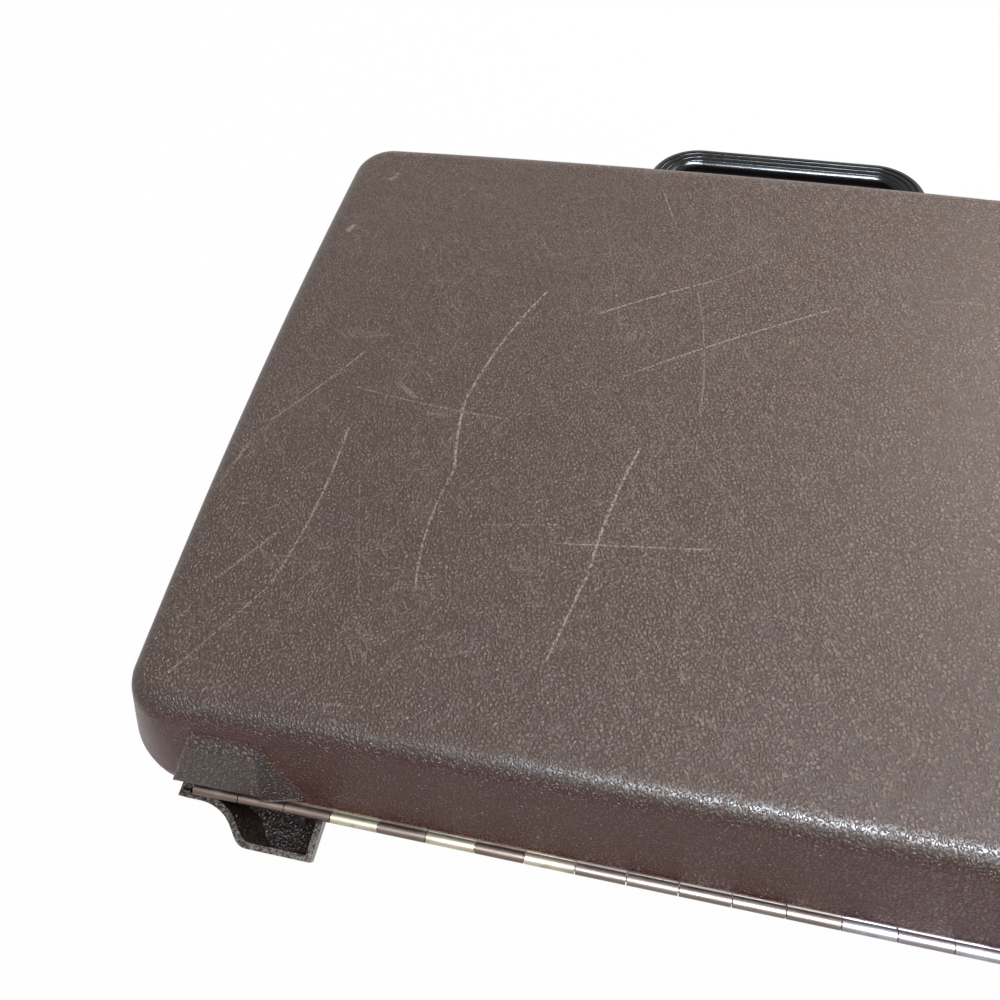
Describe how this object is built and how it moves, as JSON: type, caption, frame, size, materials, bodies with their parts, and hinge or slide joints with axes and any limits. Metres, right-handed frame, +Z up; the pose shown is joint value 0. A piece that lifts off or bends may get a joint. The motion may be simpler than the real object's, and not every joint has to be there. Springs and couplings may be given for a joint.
{
  "type": "briefcase",
  "caption": "Hard-shell briefcase with a piano-hinged lid, sprung-style hasp locks with number dials, a swinging carrying handle and a lined interior.",
  "frame": {"origin": "centre of the shells' outline, on the flat underside of the base, with the case lying shut", "axes": "+X along the piano hinge, +Y from the hinge side to the handle side, +Z up from the base to the lid"},
  "size_m": [0.4386, 0.4026, 0.1],
  "materials": {
    "brown_shell": "pebbled grain, scuffed",
    "rim_metal": "satin",
    "hinge_metal": "worn plating",
    "lining_cloth": "short nap",
    "pocket_leather": "fine grain",
    "lock_metal": "satin plated",
    "steel": "plain",
    "dial_plastic": "moulded",
    "black_grip": "satin"
  },
  "bodies": {
    "base": {"base_shell": "brown_shell", "base_rim": "rim_metal", "base_lining": "lining_cloth", "hinge_leaf_base": "hinge_metal", "hinge_rivets_base": "hinge_metal", "hinge_pin": "hinge_metal", "hinge_foot_left": "brown_shell", "hinge_foot_right": "brown_shell", "foot_screws": "steel", "lock_plate_left": "lock_metal", "lock_plate_right": "lock_metal", "dial_axle_left": "steel", "dial_axle_right": "steel", "lock_screws": "steel", "handle_bracket_left": "steel", "handle_bracket_right": "steel", "handle_pin_left": "steel", "handle_pin_right": "steel", "bracket_rivets": "steel"},
    "lid": {"lid_shell": "brown_shell", "lid_rim": "rim_metal", "lid_lining": "lining_cloth", "file_pocket": "pocket_leather", "file_pocket_gusset": "pocket_leather", "card_pocket": "pocket_leather", "pen_loops": "pocket_leather", "hinge_leaf_lid": "hinge_metal", "hinge_rivets_lid": "hinge_metal", "hasp_plate_left": "lock_metal", "hasp_plate_right": "lock_metal", "hasp_pin_left": "steel", "hasp_pin_right": "steel", "hasp_screws": "steel"},
    "handle": {"handle_core": "steel", "handle_grip": "black_grip"},
    "hasp_left": {"hasp_left": "lock_metal"},
    "thumb_slide_left": {"thumb_slide_left": "lock_metal"},
    "dial_1_left": {"dial_1_left": "dial_plastic"},
    "dial_2_left": {"dial_2_left": "dial_plastic"},
    "dial_3_left": {"dial_3_left": "dial_plastic"},
    "hasp_right": {"hasp_right": "lock_metal"},
    "thumb_slide_right": {"thumb_slide_right": "lock_metal"},
    "dial_1_right": {"dial_1_right": "dial_plastic"},
    "dial_2_right": {"dial_2_right": "dial_plastic"},
    "dial_3_right": {"dial_3_right": "dial_plastic"}
  },
  "joints": [
    {"name": "lid_hinge", "type": "hinge", "parent": "base", "child": "lid", "pos_m": [0, -0.165, 0.06], "axis": [1, 0, 0], "range_deg": [0, 95]},
    {"name": "handle_swing", "type": "hinge", "parent": "base", "child": "handle", "pos_m": [0, 0.172, 0.046], "axis": [1, 0, 0], "range_deg": [-50, 45]},
    {"name": "hasp_left_swing", "type": "hinge", "parent": "lid", "child": "hasp_left", "pos_m": [-0.13, 0.168, 0.069], "axis": [1, 0, 0], "range_deg": [0, 100]},
    {"name": "slide_left_travel", "type": "slide", "parent": "base", "child": "thumb_slide_left", "axis": [1, 0, 0], "range_m": [0, 0.008]},
    {"name": "dial_1_left_turn", "type": "hinge", "parent": "base", "child": "dial_1_left", "pos_m": [-0.114, 0.1595, 0.0455], "axis": [1, 0, 0], "continuous": true},
    {"name": "dial_2_left_turn", "type": "hinge", "parent": "base", "child": "dial_2_left", "pos_m": [-0.107, 0.1595, 0.0455], "axis": [1, 0, 0], "continuous": true},
    {"name": "dial_3_left_turn", "type": "hinge", "parent": "base", "child": "dial_3_left", "pos_m": [-0.1, 0.1595, 0.0455], "axis": [1, 0, 0], "continuous": true},
    {"name": "hasp_right_swing", "type": "hinge", "parent": "lid", "child": "hasp_right", "pos_m": [0.13, 0.168, 0.069], "axis": [1, 0, 0], "range_deg": [0, 100]},
    {"name": "slide_right_travel", "type": "slide", "parent": "base", "child": "thumb_slide_right", "axis": [-1, 0, 0], "range_m": [0, 0.008]},
    {"name": "dial_1_right_turn", "type": "hinge", "parent": "base", "child": "dial_1_right", "pos_m": [0.114, 0.1595, 0.0455], "axis": [1, 0, 0], "continuous": true},
    {"name": "dial_2_right_turn", "type": "hinge", "parent": "base", "child": "dial_2_right", "pos_m": [0.107, 0.1595, 0.0455], "axis": [1, 0, 0], "continuous": true},
    {"name": "dial_3_right_turn", "type": "hinge", "parent": "base", "child": "dial_3_right", "pos_m": [0.1, 0.1595, 0.0455], "axis": [1, 0, 0], "continuous": true}
  ]
}
